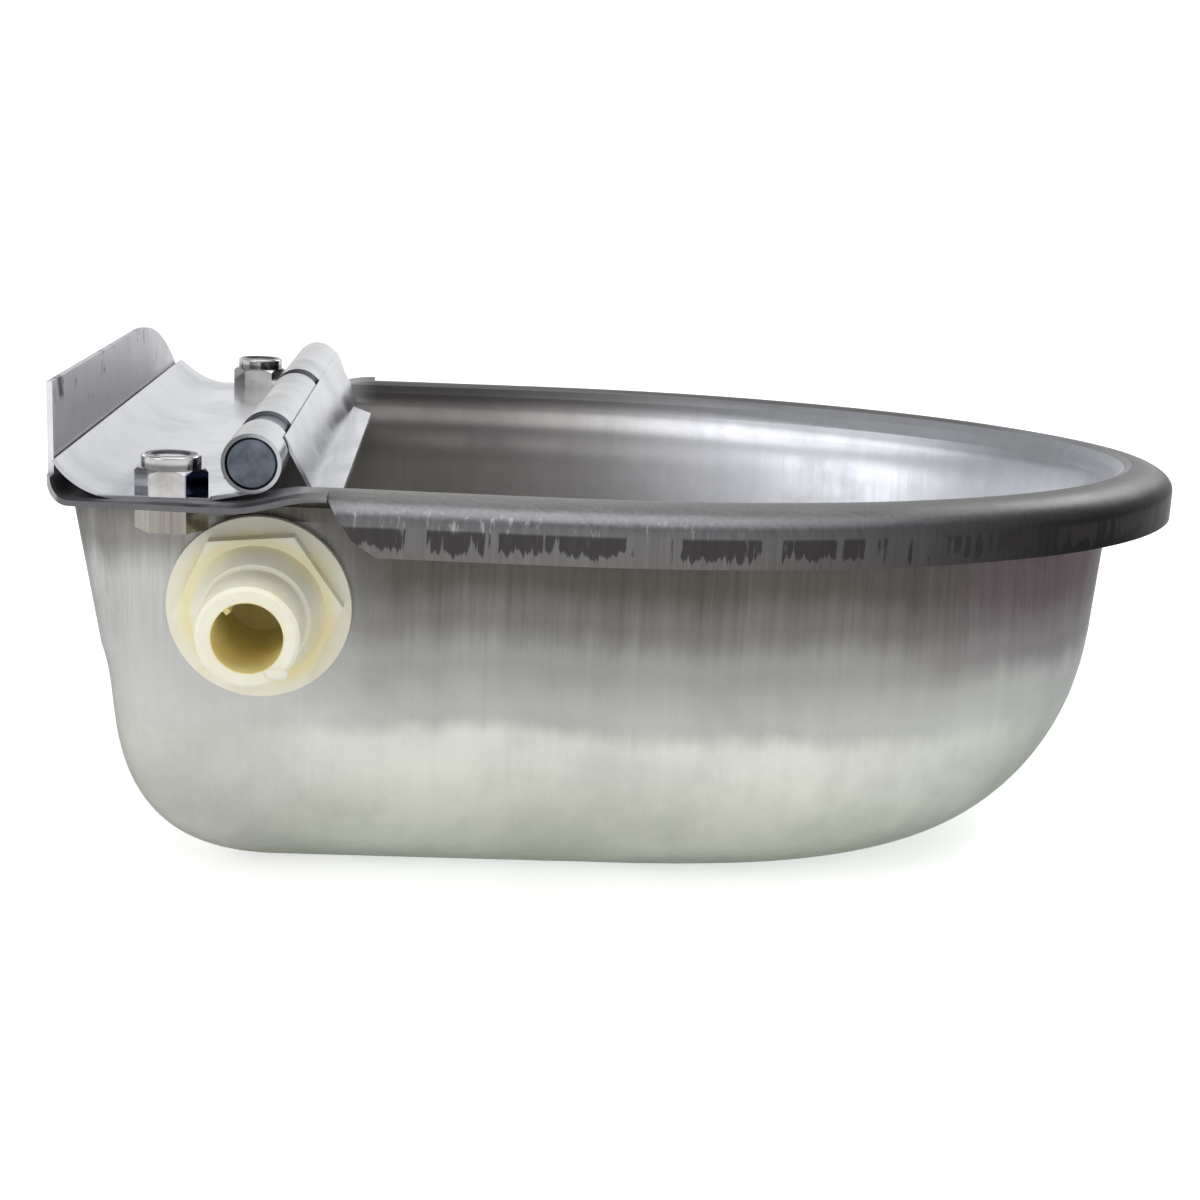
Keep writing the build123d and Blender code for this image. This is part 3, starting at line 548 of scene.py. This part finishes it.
# Pins and float arm: drawn steel bar, darker than the sheet, cut to length. The hinge pin's
# sawn ends show scratches and a blue-grey cast.
bar, tree, shader, place = new_material("drawn_bar", Metallic=1.0, Roughness=0.32)
scratches = use(tree, drawn_lines, place, Fineness=420.0, Stretch=420.0, Contrast=0.6)
haze = use(tree, smudges, place, Size=160.0, Low=0.35, High=0.7)
steel = tint(tree, haze, (0.05, 0.06, 0.08), (0.11, 0.125, 0.16))
steel = tint(tree, product(tree, scratches, 0.35), steel, (0.36, 0.40, 0.46))
tree.links.new(steel, shader.inputs["Base Color"])
bump(tree, shader, scratches, 0.00006, 0.4)
dress(bar, "hinge_pin", "lever_pin", "split_pin", "float_arm", "arm_nuts")

# Cover plate and flap: thin bright stainless sheet, bent, and rolled into knuckles round the hinge pin.
# The knuckles get painted shade on the side that faces the upstand.
hinge_x, hinge_z, knuckle_radius = -0.0639, 0.0945, 0.0072
bright_sheet, tree, shader, place = new_material("bright_sheet", Metallic=1.0)
grain = use(tree, drawn_lines, place, Fineness=260.0, Stretch=260.0, Contrast=0.4)
prints = use(tree, smudges, place, Size=38.0, Low=0.4, High=0.75)
bright = tint(tree, prints, (0.55, 0.565, 0.60), (0.48, 0.495, 0.54))
bright = tint(tree, product(tree, grain, 0.2), bright, (0.42, 0.43, 0.46))
x, y, z = split(tree, place)
off_hinge = figure(tree, "SUBTRACT", x, hinge_x)
reach = distance(tree, off_hinge, figure(tree, "SUBTRACT", z, hinge_z))
# Painted shade on the knuckles' side towards the upstand.
knuckle_painted_shade = step_of(tree, reach, knuckle_radius, 0.0065)
knuckle_painted_shade = product(tree, knuckle_painted_shade, step_of(tree, off_hinge, 0.0045, -0.003))
bright = shaded(tree, bright, knuckle_painted_shade, -0.66)
gloss = figure(tree, "MULTIPLY_ADD", prints, 0.12, 0.16)
join(tree, (bright, shader.inputs["Base Color"]), (gloss, shader.inputs["Roughness"]))
bump(tree, shader, grain, 0.00003, 0.3)
dress(bright_sheet, "cover_plate", "cover_flap")

# Bolts and nuts: forged M8, bright plated, bolts up through the deck and nuts on the cover. Painted shade
# darkens the groove between hexagon and collar and the nuts' back flats, a painted blue reflection lies on
# the near nut's right flat, and the heads are dull.
plated, tree, shader, place = new_material("plated", Metallic=1.0)
haze = use(tree, smudges, place, Size=120.0, Low=0.35, High=0.8)
x, y, z = split(tree, place)
plate = tint(tree, haze, (0.62, 0.61, 0.60), (0.34, 0.33, 0.33))
# Painted shade in the groove between hexagon and collar.
groove_painted_shade = product(tree, step_of(tree, z, 0.0922, 0.0932), step_of(tree, z, 0.0944, 0.0936), 0.7)
plate = tint(tree, groove_painted_shade, plate, (0.06, 0.06, 0.06))
# Painted shade on the nuts' back flats.
back_flat_painted_shade = product(tree, step_of(tree, x, -0.0838, -0.0846), step_of(tree, z, 0.0935, 0.0925), 0.6)
plate = tint(tree, back_flat_painted_shade, plate, (0.10, 0.10, 0.10))
# Painted reflection: a dark blue tint on the near nut's right flat.
near_flat_painted_reflection = product(
    tree, step_of(tree, x, -0.0770, -0.0764), step_of(tree, z, 0.0930, 0.0922),
    step_of(tree, y, -0.090, -0.094), 0.85,
)
plate = tint(tree, near_flat_painted_reflection, plate, (0.03, 0.045, 0.20))
serrated = use(tree, drawn_lines, place, Fineness=900.0, Stretch=1.0, Contrast=0.1)
dull = tint(tree, serrated, (0.42, 0.40, 0.36), (0.22, 0.20, 0.18))
plate = tint(tree, step_of(tree, z, 0.0872, 0.0866), plate, dull)
gloss = figure(tree, "MULTIPLY_ADD", haze, 0.14, 0.10)
join(tree, (plate, shader.inputs["Base Color"]), (gloss, shader.inputs["Roughness"]))
dress(plated, "cover_bolts", "cover_nuts")

# Locking rings: a dark nylon ring, moulded and pressed into the top of each nut's collar,
# which grips the bolt's thread so that the nut can't shake loose.
ring_plastic, tree, shader, place = new_material("ring_plastic", Roughness=0.4)
haze = use(tree, smudges, place, Size=300.0, Low=0.35, High=0.7)
tree.links.new(tint(tree, haze, (0.08, 0.08, 0.10), (0.15, 0.15, 0.17)), shader.inputs["Base Color"])
dress(ring_plastic, "nut_collars")
